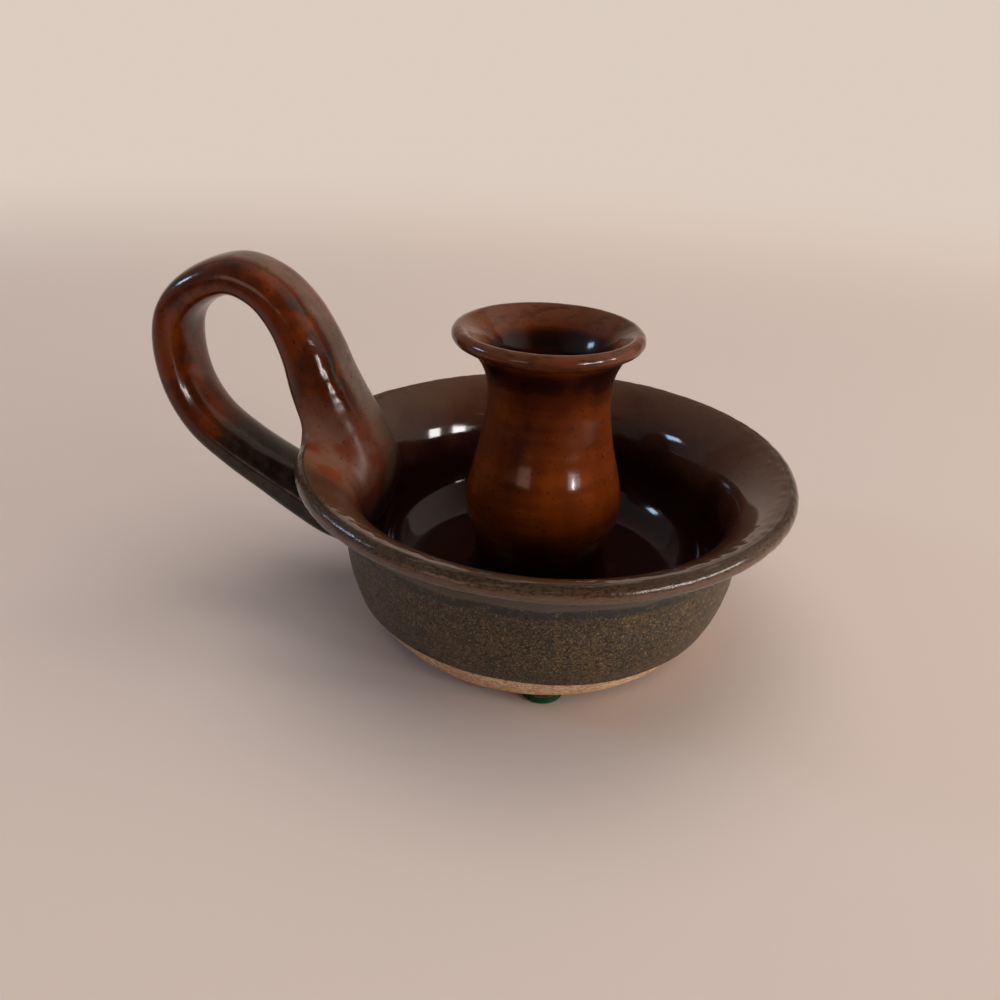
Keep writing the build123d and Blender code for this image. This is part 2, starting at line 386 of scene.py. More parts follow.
class Paint(Mixer):
    """A material that is mixed from numbers and colours that change over a piece."""

    def __init__(self, name, **constants):
        self.material = bpy.data.materials.new(name)
        self.material.use_nodes = True
        super().__init__(self.material.node_tree)
        self.shader = self.tree.nodes["Principled BSDF"]
        for socket, value in constants.items():
            self.shader.inputs[socket.replace("_", " ")].default_value = value
        place = self.node("ShaderNodeTexCoord").outputs["Object"]
        self.place = self.vector("SCALE", place, scale=1 / MM)

    def mask(self, name):
        return self.node("ShaderNodeAttribute", attribute_name=name).outputs["Fac"]

    def part(self, index):
        """The place's x, y or z in millimetres."""
        return self.node("ShaderNodeSeparateXYZ", {0: self.place}).outputs[index]

    def noise(self, wavelength, detail=2.0, stretch=(1, 1, 1), shift=0.0, distortion=0.0):
        """Noise about 0.5 whose patches are as large as wavelength, in millimetres."""
        spread = [k / wavelength for k in stretch]
        at = self.vector("MULTIPLY_ADD", self.place, spread, (shift, shift * 0.7, -shift))
        return self.node("ShaderNodeTexNoise", {"Vector": at, "Scale": 1.0, "Detail": detail,
                                                "Distortion": distortion}).outputs["Fac"]

    def ring_noise(self, wavelength, detail, longer, about, shift):
        """Noise whose patches are longer round the axis, for a ring of about that radius."""
        flat = self.vector("MULTIPLY", self.place, (1, 1, 0))
        way, out = self.vector("NORMALIZE", flat), self.vector("LENGTH", flat, output=1)
        around = self.vector("SCALE", way, scale=about / wavelength / longer)
        height = self.product(self.part(2), 1 / wavelength)
        at = self.vector("ADD", around, self.node("ShaderNodeCombineXYZ", {2: height}).outputs[0])
        values = {"Vector": at, "W": self.number("MULTIPLY_ADD", out, 1 / wavelength, shift),
                  "Scale": 1.0, "Detail": detail}
        return self.node("ShaderNodeTexNoise", values, noise_dimensions="4D").outputs["Fac"]

    def finish(self, pieces, colour, roughness, relief):
        """Join colour, roughness and relief, a list of (height, depth in millimetres), to the shader,
        and paint the pieces with it."""
        self.tree.links.new(colour, self.shader.inputs["Base Color"])
        self.tree.links.new(roughness, self.shader.inputs["Roughness"])
        normal = None
        for height, depth in relief:
            values = {"Height": height, "Distance": depth * MM}
            bump = self.node("ShaderNodeBump", values | ({"Normal": normal} if normal else {}))
            normal = bump.outputs["Normal"]
        self.tree.links.new(normal, self.shader.inputs["Normal"])
        for piece in pieces:
            piece.data.materials.clear()
            piece.data.materials.append(self.material)
        print(self.material.name, "has", len(self.tree.nodes), "nodes")


def shaded(paint, low, high, colours, value):
    """A colour from a few that follow each other evenly while a number goes from low to high."""
    step = (high - low) / (len(colours) - 1)
    colour = (*colours[0], 1)
    for index, over in enumerate(colours[1:]):
        share = paint.between(value, low + index * step, low + (index + 1) * step)
        colour = paint.mix(share, colour, over)
    return colour


print("brushes:", [name for name in vars(Paint) if not name.startswith("_")])

# %% [markdown]
# ## The drip saucer
# The saucer is a low bowl with a flared, rolled rim. Its outside was left in a dry, speckled glaze
# and its foot is bare clay. A line from the middle of the base, over the foot, the wall and the rim
# and down the inside to the middle of the floor holds the whole shape.

# %% Draw the saucer's line
foot_height, floor_height, rim_radius, crest_height = 2.0, 9.5, 60.0, 44.2
lip_radius, glaze_height = 2.2, 9.7
lip_out, lip_high = rim_radius - lip_radius, crest_height - lip_radius
base_line = [(radius, foot_height) for radius in (0, 12, 26, 40.2)]
wall_line = [(41.0, 2.25), (41.4, 2.8), (43.5, 5.8), (46.55, 10.86), (48.58, 18.46), (49.2, 28.16),
             (50.82, 33.65), (54.49, 37.62)]
lip_line = arc(lip_out, lip_high, lip_radius, -75, 105)
inside_line = [(52.3, 41.5), (47.3, 36.52), (44.6, 29.01), (44.2, 21.83), (41.76, 15.41),
               (36.88, 10.77), *((radius, floor_height) for radius in (32, 24, 12, 0))]


def saucer_spacing(places):
    radius, height = places.T
    rim = np.hypot(radius - lip_out, height - lip_high) < 4
    glaze_edge = (abs(height - glaze_height) < 2.3) & (radius > 43)
    flat = (radius < 33) & (height > 5)
    return np.where(rim, 0.4, np.where(glaze_edge, 0.3, np.where(flat, 2.5, 1.1)))


saucer_line = spaced(smooth_line([*base_line, *wall_line, *lip_line, *inside_line]), saucer_spacing)
inside_start = int(np.argmax(saucer_line[:, 1])) - 1
print("saucer's line:", len(saucer_line), "points, its inside starts at", inside_start)

# %% Say how the hand moved the saucer's clay and glaze
def glaze_line(angle):
    """The height at which the glaze was wiped off the foot, a little wavy as a sponge leaves it."""
    tilt = -1.1 * np.sin(angle - math.radians(280))
    waves = 0.25 * np.sin(3 * angle + 1) + 0.18 * np.sin(7 * angle) + 0.10 * np.sin(17 * angle + 2)
    return glaze_height + tilt + waves


def rim_rise(angle, height):
    """How far the rim is above or below level, as a hand leaves it; nothing at the foot."""
    rise = 0.27 * np.sin(angle - 2.45) + 0.59 * np.sin(2 * angle + 0.16)
    return (rise + 0.16 * np.sin(3 * angle + 2.73)) * smoothstep(22, 42, height)


def saucer_push(points, rows):
    radius, angle, height = round_axis(points)
    outside = (rows < inside_start) & (radius > 40)
    rings = wave(height, 4.6, angle) * np.where(outside, 0.04, 0.03)
    rings *= smoothstep(12, 20, height) * smoothstep(44, 36, height)
    over_line = height - glaze_line(angle)
    coat = 0.22 * smoothstep(-0.35, 0.35, over_line)
    bead = 0.14 * np.exp(-((over_line - 0.6) / 0.5) ** 2)
    pebbly = 0.09 * bumps(points, 2.4, 3) + 0.05 * bumps(points, 1.2, 4)
    pebbly *= smoothstep(4.5, 2.5, np.hypot(radius - lip_out, height - lip_high))
    lumpy = 0.12 * bumps(points, 14, 5) * smoothstep(3, 8, height) * np.where(outside, 1, 0.35)
    from_side = np.hypot(points[:, 0] + 75, points[:, 1] - 30)
    wire_cuts = 0.09 * (wave(from_side, 4.4) + 0.4 * wave(from_side, 7.1) - 1.4)
    wire_cuts *= smoothstep(40.4, 38, radius) * (height < 2.3)
    pushed = rings + np.where(outside, coat + bead, 0) + pebbly + lumpy + wire_cuts
    uneven = 0.22 * np.sin(2 * angle + 0.6) + 0.12 * np.sin(3 * angle + 2.1)
    uneven *= smoothstep(8, 40, height) * smoothstep(20, 48, radius)
    outward = points / np.maximum(radius, 1)[:, None] * [1, 1, 0]
    return pushed, outward * uneven[:, None] + np.outer(rim_rise(angle, height), [0, 0, 1])


print("the glaze ends", glaze_line(0).round(1), "mm up on the right")

# %% Turn the saucer
saucer_segments = 480
saucer = thrown("drip_saucer", saucer_line, saucer_segments, saucer_push)
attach(saucer, "root")
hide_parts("saucer")
print("saucer:", len(saucer_line), "rows,", len(saucer.data.polygons), "faces")

# %% Mark the saucer's zones
# lip_turn is -1 below the lip, 0 at its outermost place and 1 on its crest
saucer_places = places_of(saucer)
saucer_radius, saucer_angle, saucer_height = round_axis(saucer_places)
row_of = np.repeat(np.arange(len(saucer_line) - 2), saucer_segments)
bowl_rows = np.append(row_of, (0, len(saucer_line))) >= inside_start
level_height = saucer_height - rim_rise(saucer_angle, saucer_height)
lip_turn = np.arctan2(level_height - lip_high, saucer_radius - lip_out) / (math.pi / 2)
lip_turn = np.where(bowl_rows & (lip_turn < 0), lip_turn + 4, lip_turn)
lip_turn = np.where(level_height < lip_high - lip_radius, np.where(bowl_rows, 1.3, -1.0), lip_turn)
over_line = saucer_height - glaze_line(saucer_angle)
past_crest = np.where(bowl_rows, np.maximum(lip_turn, 1), 0)
mark(saucer, lip_turn=np.clip(lip_turn, -1.0, 1.3),
     glazed=np.where(bowl_rows, 1, smoothstep(-0.25, 0.25, over_line)),
     bowl=bowl_rows * smoothstep(0.9, 1.15, past_crest))
print("lip turns from", lip_turn.min().round(2), "to", lip_turn.max().round(2))

# %% [markdown]
# ## The saucer's glazes
# Three glazes and bare clay meet here. The inside has a glossy iron glaze that is brown on the
# flare and nearly black where it pooled. The rim breaks to a mottled brown and grey with streaks
# that follow the potter's sponge. The outside is dry and dense with tan crystals like short strands,
# and the foot is sandy clay. The marks choose between them, and noise makes every edge soft.

# %% Mix the dry glaze with its tan strands
paint = Paint("saucer_glazes", IOR=1.4)
height_mm = paint.part(2)
cloud, grain, fine = paint.noise(11, 3), paint.noise(1.1, 3, shift=3), paint.noise(0.35, 2, shift=5)
strands = paint.number("SUBTRACT", paint.noise(0.9, 1, shift=7, distortion=0.8), 0.5)
strands = paint.product(paint.between(paint.number("ABSOLUTE", strands), 0.05, 0.0),
                        paint.between(paint.noise(0.6, 2, shift=9), 0.38, 0.56), 0.85)
specks = paint.between(paint.noise(0.6, 2, shift=11), 0.50, 0.60)
tan, dark_speck = (0.21, 0.13, 0.058), (0.009, 0.007, 0.006)
dry = paint.mix(paint.between(cloud, 0.4, 0.62), (0.036, 0.025, 0.014), (0.054, 0.033, 0.015))
dry = paint.mix(strands, paint.mix(specks, dry, dark_speck), tan)
print("dry glaze:", len(paint.tree.nodes), "nodes")

# %% Mix the smooth band under the rim and the painted shade line in the cove below it
wavy_height = paint.total(height_mm, paint.swing(cloud, 3.0))
broken = paint.between(paint.noise(1.6, 3, stretch=(0.4, 0.4, 1), shift=27), 0.36, 0.5)
# painted shade: a broken bluish-black line where the cove under the rim lies in shadow
cove_shade_line = paint.product(paint.band(wavy_height, 28.6, 29.8, 31.0, 32.2), broken, 0.8)
smooth_band = paint.mix(paint.between(grain, 0.4, 0.6), (0.060, 0.048, 0.037), (0.078, 0.059, 0.044))
dry = paint.mix(paint.between(wavy_height, 31.2, 32.4), dry, smooth_band)
dry = paint.mix(cove_shade_line, dry, (0.012, 0.015, 0.018))
print("band and line:", len(paint.tree.nodes), "nodes")

# %% Mix the bare clay of the foot
clay = paint.mix(paint.between(grain, 0.42, 0.6), (0.42, 0.26, 0.15), (0.62, 0.42, 0.27))
clay = paint.mix(paint.between(paint.noise(0.7, 2, shift=13), 0.6, 0.68), clay, (0.06, 0.035, 0.02))
stain = paint.product(paint.between(paint.noise(7, 3, shift=15), 0.42, 0.72), 0.5)
clay = paint.mix(stain, clay, (0.42, 0.235, 0.12))
print("clay:", len(paint.tree.nodes), "nodes")

# %% Mix the mottled rim and the glaze that pooled in the bowl
streak = paint.ring_noise(0.65, 3, 12, 59, 17)
mottle = paint.ring_noise(0.42, 3, 2.0, 59, 19)
turned = paint.total(paint.mask("lip_turn"), paint.swing(streak, 0.5))
rim = shaded(paint, -0.75, 1.15, [(0.050, 0.040, 0.032), (0.080, 0.060, 0.045), (0.105, 0.060, 0.038),
                                  (0.055, 0.031, 0.018), (0.036, 0.020, 0.012),
                                  (0.072, 0.050, 0.034)], turned)
upper_lip = paint.total(0.2, paint.product(paint.band(turned, 0.05, 0.25, 0.8, 1.0), 0.45))
dark_spots = paint.product(paint.between(mottle, 0.48, 0.58), upper_lip)
rim = paint.mix(dark_spots, rim, (0.014, 0.008, 0.006))
rim = paint.mix(paint.product(paint.between(streak, 0.56, 0.7), 0.4), rim, (0.12, 0.095, 0.072))
pooled = shaded(paint, 20.0, 43.0, [(0.012, 0.003, 0.0025), (0.018, 0.0045, 0.003),
                                    (0.042, 0.014, 0.007), (0.055, 0.023, 0.012)],
                paint.total(height_mm, paint.swing(cloud, 22.0)))
dark_spots = paint.product(paint.between(mottle, 0.55, 0.7), 0.35)
pooled = paint.mix(dark_spots, pooled, (0.010, 0.005, 0.004))
print("rim and pool:", len(paint.tree.nodes), "nodes")

# %% Lay the glazes over each other by the marks
def root_glaze_and_reflection(paint, colour, share):
    """The thin orange glaze where the handle's root is rubbed into the bowl, with pinkish clouds of
    painted reflection.
    """
    patches = paint.between(paint.noise(7, 2, shift=61), 0.42, 0.58)
    return paint.mix(share, colour, paint.mix(patches, (0.15, 0.062, 0.036), (0.14, 0.030, 0.009)))


bowl, root, glazed = (paint.mask(name) for name in ("bowl", "root", "glazed"))
on_lip = paint.between(paint.mask("lip_turn"), -0.85, -0.6)
colour = paint.mix(bowl, paint.mix(on_lip, dry, rim), pooled)
colour = paint.mix(glazed, clay, root_glaze_and_reflection(paint, colour, root))
rough = paint.total(0.30, paint.product(grain, 0.35))
rough = paint.swap(on_lip, rough, paint.total(0.02, paint.product(grain, 0.08)))
rough = paint.swap(root, paint.swap(bowl, rough, 0.09), 0.30)
rough = paint.swap(glazed, 0.92, rough)
outer_part = paint.number("SUBTRACT", 1.0, bowl)
grainy_part = paint.product(outer_part, paint.number("SUBTRACT", 1.0, paint.product(on_lip, 0.85)))
paint.finish([saucer], colour, rough, [(paint.product(grain, grainy_part), 0.10),
                                       (paint.product(fine, outer_part), 0.045),
                                       (paint.noise(6, 2, shift=23), 0.02)])

# %% [markdown]
# ## The candle socket
# The socket was thrown apart from the saucer and luted onto its floor. It has a round belly, a
# narrow neck and a flange like a small plate, with a funnel that leads the candle into the bore.
# It is made as the saucer was, and the straight grip inside keeps the size that the candle needs.

# %% Draw and turn the socket
socket_foot, socket_top, flange_radius, flange_lip = 9.8, 75.8, 22.4, 1.8
bore_radius = 11.3
flange_out, flange_high = flange_radius - flange_lip, socket_top - flange_lip
socket_outside = [*((radius, socket_foot) for radius in (0, 6, 12, 16.4)), (17.3, 10.1),
                  (16.8, 18.4), (17.8, 24.0), (19.2, 27.95), (19.6, 32.57),
                  (18.0, 40.8), (16.35, 47.4), (14.8, 59.3), (15.56, 65.57), (18.15, 70.2)]
socket_lip = arc(flange_out, flange_high, flange_lip, -75, 105)
socket_inside = [(16.13, 73.05), (12.9, 68.9),
                 *((bore_radius, height) for height in (64.3, 58, 52, 47.3)),
                 (12.6, 43.5), (15.0, 32.57), (13.5, 21.9), (8, 15.6), (0, 14.8)]


def socket_spacing(places):
    return np.where(np.hypot(places[:, 0] - flange_out, places[:, 1] - flange_high) < 3.2, 0.3, 0.7)


def socket_push(points, rows):
    radius, angle, height = round_axis(points)
    rings = 0.008 * wave(height, 3.4, angle) + 0.004 * wave(height, 1.3, angle)
    rings *= smoothstep(12, 18, height) * smoothstep(73, 66, height)
    pebbly = 0.05 * bumps(points, 2.2, 7) * smoothstep(66, 72, height)
    lumpy = 0.10 * bumps(points, 13, 8)
    outside = smoothstep(bore_radius + 1, bore_radius + 2.4, radius)
    lean = 1.1 * smoothstep(50, 76, height) * smoothstep(bore_radius, flange_radius, radius)
    shift = np.outer(lean, [-math.cos(camera_turn), -math.sin(camera_turn), 0])
    return (rings + pebbly + lumpy) * outside, shift


socket_line = spaced(smooth_line([*socket_outside, *socket_lip, *socket_inside]), socket_spacing)
socket = thrown("candle_socket_thrown", socket_line, 288, socket_push)
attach(socket, "root")
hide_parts("candle_socket")
print("socket:", len(socket_line), "rows,", len(socket.data.polygons), "faces")

# %% Mark the painted shade under the socket's flange and towards its foot, and the flange itself
socket_radius, _, socket_height = round_axis(places_of(socket))
# painted shade: darker under the flange and towards the foot, where shadow falls
shade_under_flange = 0.75 * smoothstep(58, 69, socket_height) * smoothstep(72.5, 70, socket_height)
shade_under_flange *= smoothstep(21.5, 17, socket_radius)
mark(socket, pool=np.maximum(shade_under_flange, smoothstep(27, 17, socket_height)),
     flange=smoothstep(69.5, 73, socket_height) * smoothstep(13, 17, socket_radius))
print("points under the flange:", int((shade_under_flange > 0.1).sum()))

# %% Paint the socket in the rust glaze
def rust(paint, thickness):
    """The iron glaze: orange where it is thin, then rust-red, and nearly black where it is thick."""
    return shaded(paint, 0.30, 0.82, [(0.26, 0.062, 0.004), (0.155, 0.030, 0.002),
                                      (0.095, 0.017, 0.002), (0.045, 0.008, 0.002),
                                      (0.014, 0.003, 0.002)], thickness)


def iron_specks(paint, colour):
    """Small dark iron spots that come through from the clay."""
    spots = paint.between(paint.noise(0.9, 1, shift=31), 0.66, 0.74)
    return paint.mix(paint.product(spots, 0.8), colour, (0.012, 0.006, 0.004))


paint = Paint("rust_glaze", IOR=1.4)
drip = paint.swing(paint.noise(11, 2, stretch=(1, 1, 0.5), shift=2), 0.5, middle=0.44)
lines = paint.ring_noise(1.6, 2, 18, 18, 4)
# the painted shade makes the glaze thicker, so darker, under the flange and towards the foot
thickness = paint.total(0.5, drip, paint.swing(lines, 0.16), paint.product(paint.mask("pool"), 0.4))
colour = iron_specks(paint, rust(paint, thickness))
brown = paint.mix(paint.between(paint.ring_noise(1.4, 3, 3, 21, 6), 0.45, 0.65),
                  (0.085, 0.026, 0.010), (0.040, 0.014, 0.008))
colour = paint.mix(paint.product(paint.mask("flange"), 0.85), colour, brown)
paint.finish([socket], colour, paint.total(0.07, paint.product(paint.noise(3, 2), 0.12)),
             [(paint.noise(0.9, 2, shift=8), 0.006), (lines, 0.008)])

# %% [markdown]
# ## The strap handle
# The handle is a strap of clay, pulled thin between wet fingers and bent into a loop. Its upper end
# is pressed down the inside of the bowl and its lower end lands on the outside, under the rim, and
# both ends are rubbed into the wall until no edge is left. A tube with its ends stuck into the bowl
# would show hard creases there. So the strap is written as a field, a number for each place that says
# how far the clay is, the bowl is written as a second one, and the two are blended where they are both
# near. The skin of the blended field is the handle.

# %% The skin of a field
def field_skin(field):
    """Points, in grid steps, and quads of the surface at which a field of numbers passes zero."""
    cells = np.array(field.shape) - 1
    total, count, faces = np.zeros((*cells, 3)), np.zeros(cells), []
    for axis in range(3):
        low = np.delete(field, -1, axis)
        high = np.delete(field, 0, axis)
        at = np.argwhere((low < 0) != (high < 0))
        here, there = low[tuple(at.T)], high[tuple(at.T)]
        place = at.astype(float)
        place[:, axis] += here / (here - there)
        corners = []
        for back in ((0, 0), (1, 0), (1, 1), (0, 1)):
            cell = at.copy()
            cell[:, (axis + 1) % 3] -= back[0]
            cell[:, (axis + 2) % 3] -= back[1]
            np.add.at(total, tuple(cell.T), place)
            np.add.at(count, tuple(cell.T), 1)
            corners.append(np.ravel_multi_index(tuple(cell.T), cells))
        quads = np.stack(corners, 1)
        quads[here >= 0] = quads[here >= 0][:, ::-1]
        faces.append(quads)
    used, faces = np.unique(np.vstack(faces), return_inverse=True)
    return total.reshape(-1, 3)[used] / count.reshape(-1, 1)[used], faces.reshape(-1, 4)


ball = np.linalg.norm(np.indices((9, 9, 9)) - 4.0, axis=0) - 3
print("the skin of a ball of 3 steps has", len(field_skin(ball)[1]), "faces")

# %% Lay the strap's line: how far out and how high it is, and how wide and how thick
root_rows = [(45.61, 22.0, 17.7, 3.4), (45.2, 29.0, 21.2, 7.3), (46.0, 36.39, 22.3, 10.6),
             (50.0, 43.02, 21.9, 14.1)]
arch_rows = [(53.73, 48.81, 21.2, 15.1), (56.92, 56.58, 20.3, 14.1), (59.5, 64.83, 19.3, 12.5),
             (63.44, 72.81, 18.6, 11.0), (69.31, 79.0, 18.6, 9.8), (77.51, 81.7, 18.6, 9.3),
             (87.78, 77.8, 18.6, 9.2), (93.9, 71.31, 18.2, 9.0), (95.8, 62.5, 18.0, 9.0),
             (94.19, 51.51, 17.9, 9.0)]
landing_rows = [(89.28, 42.89, 17.9, 9.3), (81.03, 35.93, 17.9, 9.8), (71.61, 29.98, 18.2, 10.5),
                (62.9, 24.83, 19.0, 11.4), (54.38, 21.0, 20.5, 12.3), (46.28, 19.6, 21.2, 12.7)]
strap_line = spaced(smooth_line([*root_rows, *arch_rows, *landing_rows]), 0.25)
strap_way = np.gradient(strap_line[:, :2], axis=0)
strap_way /= np.linalg.norm(strap_way, axis=1)[:, None]


def from_strap(x, z, at):
    """How far out and how far up a place is from a numbered point of the strap's line."""
    return -x - strap_line[at, 0], z - strap_line[at, 1]


def out_share(x, z, at):
    """0 for a place on the strap's line and 1 for one on its outer face."""
    out, up = from_strap(x, z, at)
    return (up * strap_way[at, 0] - out * strap_way[at, 1]) / (strap_line[at, 3] / 2)


print("strap's line:", len(strap_line), "points")

# %% Measure how far each place of a grid is from the strap's clay
grid_step = 0.5
grid_low, grid_high = np.array([-103.0, -22.0, 2.0]), np.array([-32.0, 22.0, 89.0])
grid_x, grid_y, grid_z = (np.arange(a, b, grid_step) for a, b in zip(grid_low, grid_high))
flat_x, flat_z = np.meshgrid(grid_x, grid_z, indexing="ij")
strap_away, strap_at = np.full(flat_x.shape, 1e9), np.zeros(flat_x.shape, int)
for index in range(len(strap_line)):
    away = np.hypot(*from_strap(flat_x, flat_z, index))
    nearer = away < strap_away
    strap_away[nearer], strap_at[nearer] = away[nearer], index
strap_share = strap_at / len(strap_line)
half_width, half_thickness = strap_line[strap_at, 2] / 2, strap_line[strap_at, 3] / 2
roundness = np.interp(strap_share, [0, 0.33, 0.48, 0.68, 1], [3.4, 3.2, 2.4, 2.5, 2.9])[:, None, :]
aside, away = np.abs(grid_y)[None, :, None], strap_away[:, None, :]
share = ((aside / half_width[:, None, :]) ** roundness
         + (away / half_thickness[:, None, :]) ** roundness) ** (1 / roundness)
strap_field = np.hypot(aside, away) * (1 - 1 / np.maximum(share, 1e-3))
print("grid:", strap_field.shape, "of which in the strap:", int((strap_field < 0).sum()))

# %% Add the lumps on the upper limb's outer edge, and end the strap at its landing
lump_height = 0.17
in_x, in_z = grid_x > -80, grid_z > 38
lump_places = np.array([(x, y, z) for x in grid_x[in_x] for y in grid_y for z in grid_z[in_z]])
lumps = np.zeros(strap_field.shape)
lumps[np.ix_(in_x, np.arange(len(grid_y)), in_z)] = bumps(lump_places, 2.3, 31).reshape(
    in_x.sum(), len(grid_y), in_z.sum())
upper_limb = smoothstep(0.10, 0.16, strap_share) * smoothstep(0.40, 0.30, strap_share)
outer_edge = upper_limb * smoothstep(0.1, 0.7, out_share(flat_x, flat_z, strap_at))
across_share = smoothstep(-4, -8, grid_y) + 0.2
strap_field -= lump_height * lumps * outer_edge[:, None, :] * across_share[None, :, None]
landing_way = strap_line[-1, :2] - strap_line[-3, :2]
landing_way /= np.linalg.norm(landing_way)
out, up = from_strap(flat_x, flat_z, -1)
past_end = out * landing_way[0] + up * landing_way[1]
lower_part = strap_at > np.argmax(strap_line[:, 0])
strap_field = np.maximum(strap_field, np.where(lower_part, past_end, -99)[:, None, :])
print("lumps up to", round(lump_height * lumps.max(), 2), "mm")

# %% [markdown]
# ## How the strap is luted to the bowl
# A potter scores both clays, wets them with slip and rubs them together with a thumb. The joint then
# has a soft hollow all round. The field of the bowl's wall is measured from the saucer that was
# turned above, so the blend follows its real shape, and each end of the strap is blended only on its
# own side of the wall.

# %% Measure how far the bowl's wall is, near the strap
from mathutils.bvhtree import BVHTree

bowl_tree = BVHTree.FromPolygons([v.co / MM for v in saucer.data.vertices],
                                 [tuple(p.vertices) for p in saucer.data.polygons])
blend_radius, patch_reach, patch_depth = 6.0, 8.5, 0.15
near_wall = np.argwhere((strap_field < patch_reach + 1) & (grid_x > -64)[:, None, None]
                        & (grid_z < 56)[None, None, :])
wall_field = np.full(strap_field.shape, 20.0)
for i, j, k in near_wall:
    place = Vector((grid_x[i], grid_y[j], grid_z[k]))
    touch, facing, _, apart = bowl_tree.find_nearest(place)
    wall_field[i, j, k] = math.copysign(apart, (place - touch).dot(facing)) + patch_depth
print("places measured:", len(near_wall))

# %% Blend strap and wall, each end only on its own side of the wall
wall_middle = np.interp(grid_z, [20, 29, 33.6, 37.6, 40, 42, 44], [46.5, 47, 48.5, 52, 56, 62, 80])
out_from_axis = np.hypot(grid_x[:, None], grid_y[None, :])
bowl_side = smoothstep(-1.5, 1.5, wall_middle[None, None, :] - out_from_axis[:, :, None])
own_side = np.where(lower_part[:, None, :], 1 - bowl_side, bowl_side)
soft = np.maximum(blend_radius * own_side, 0.05)
overlap = np.maximum(soft - np.abs(strap_field - wall_field), 0) / soft
handle_field = np.minimum(strap_field, wall_field) - overlap ** 2 * soft / 4
handle_field = np.maximum(handle_field, strap_field - patch_reach)
points, faces = field_skin(handle_field)
points = grid_low + points * grid_step
print("handle skin:", len(points), "points")

# %% Make the handle and rub it smooth
handle = new_piece("strap_handle", points, faces)
rub = handle.modifiers.new("rub", "SMOOTH")
rub.factor, rub.iterations = 0.5, 3
bpy.context.view_layer.objects.active = handle
bpy.ops.object.modifier_apply(modifier="rub")
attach(handle, "root")
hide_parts("handle", "handle_inner_slip_joint", "handle_outer_slip_joint")
print("handle:", len(handle.data.polygons), "faces")

# %% [markdown]
# ## The handle's glaze
# The strap wears the socket's rust glaze, with a painted pale reflection on its outer face, green
# where it ran and olive towards the landing. At the root, a thin orange glaze with painted pink
# reflection runs on over the bowl. These zones follow the strap, so each point keeps how far along
# the strap it is.

# %% Mark the handle's zones
handle_places = places_of(handle)
handle_x, handle_y, handle_z = handle_places.T
nearest = np.array([int(np.argmin(out ** 2 + up ** 2)) for out, up in
                    (from_strap(x, z, slice(None)) for x, z in zip(handle_x, handle_z))])
along = nearest / (len(strap_line) - 1)
wall_apart = np.array([bowl_tree.find_nearest(Vector(p))[3] for p in handle_places])
root_part = smoothstep(0.34, 0.22, along)
# the root's glaze and its painted reflection are laid only on the near side, towards the camera
near_side = smoothstep(6, -1, handle_y) * smoothstep(31, 41, handle_z)
# painted shade in the crease by the bowl wall: low on the root and on its far side
deep = np.clip(smoothstep(34, 24, handle_z) + smoothstep(4, 9, handle_y), 0, 1)
mark(handle, along=along, out_side=np.clip(out_share(handle_x, handle_z, nearest), -1, 1),
     root=smoothstep(13, 2, wall_apart) * root_part * near_side,
     rubbed=smoothstep(13, 8, wall_apart) * root_part,
     deep=smoothstep(7, 1, wall_apart) * root_part * deep)
print("handle points near the wall:", int((wall_apart < 8).sum()))

# %% Let the root's thin glaze and its painted pink reflection run on over the bowl beside it
root_line = np.array([(45.6, 22), (45.2, 29), (46, 36.4), (50, 43), (53.7, 48.8)])
root_half_width = 9.5
saucer_x, saucer_y, saucer_z = saucer_places.T
flat_apart = np.hypot(saucer_x[:, None] + root_line[:, 0], saucer_z[:, None] - root_line[:, 1]).min(1)
root_apart = np.hypot(flat_apart, np.maximum(abs(saucer_y) - root_half_width, 0))
near_side = smoothstep(5, -2, saucer_y) * smoothstep(32, 42, saucer_z)
past_lip = smoothstep(0.95, 1.15, np.where(bowl_rows, 1.3, lip_turn))
mark(saucer, root=smoothstep(20, 10, root_apart) * near_side * past_lip)
print("saucer points near the root:", int((root_apart < 20).sum()))

# %% Mix the handle's rust glaze, with a painted pale reflection on its outer face
paint = Paint("handle_glaze", IOR=1.4)
cloud, run = paint.noise(9, 3, shift=41), paint.noise(4, 3, shift=43)
along_mask, side_mask = paint.mask("along"), paint.mask("out_side")
across_mm = paint.total(paint.part(1), paint.swing(run, 4.0))
colour = rust(paint, paint.total(paint.product(cloud, 0.45), paint.product(run, 0.25), 0.29))
# painted reflection: the upper limb's outer face is painted pale brown, except at its far edge
far_edge = paint.product(paint.between(across_mm, 2.0, 5.0), paint.between(along_mask, 0.22, 0.28))
pale_reflection = paint.product(paint.between(side_mask, 0.72, 0.98), paint.between(along_mask, 0.52, 0.36),
                     paint.between(across_mm, -4.2, -1.4), paint.number("SUBTRACT", 1.0, far_edge), 0.8)
# the pale brown of the painted reflection
brown = paint.mix(paint.between(cloud, 0.38, 0.62), (0.100, 0.062, 0.043), (0.078, 0.044, 0.029))
colour = paint.mix(pale_reflection, colour, brown)
print("handle's rust and brown:", len(paint.tree.nodes), "nodes")

# %% Add the olive of the lower limb and the green runs
olive = paint.mix(paint.between(run, 0.42, 0.6), (0.012, 0.009, 0.005), (0.028, 0.018, 0.010))
lower = paint.total(along_mask, paint.swing(run, 0.12))
colour = paint.mix(paint.between(lower, 0.70, 0.80), colour, olive)
edge = paint.product(paint.band(across_mm, -8.5, -6.5, -5.0, -3.0),
                     paint.band(along_mask, 0.17, 0.22, 0.32, 0.38), paint.between(side_mask, 0.5, 0.8),
                     paint.between(paint.noise(3.5, 2, shift=53), 0.42, 0.55), 0.75)
drops = paint.product(paint.between(paint.noise(7, 1, shift=47), 0.66, 0.74), 0.8)
colour = paint.mix(paint.number("MAXIMUM", drops, edge), colour, (0.010, 0.014, 0.008))
print("olive and green:", len(paint.tree.nodes), "nodes")
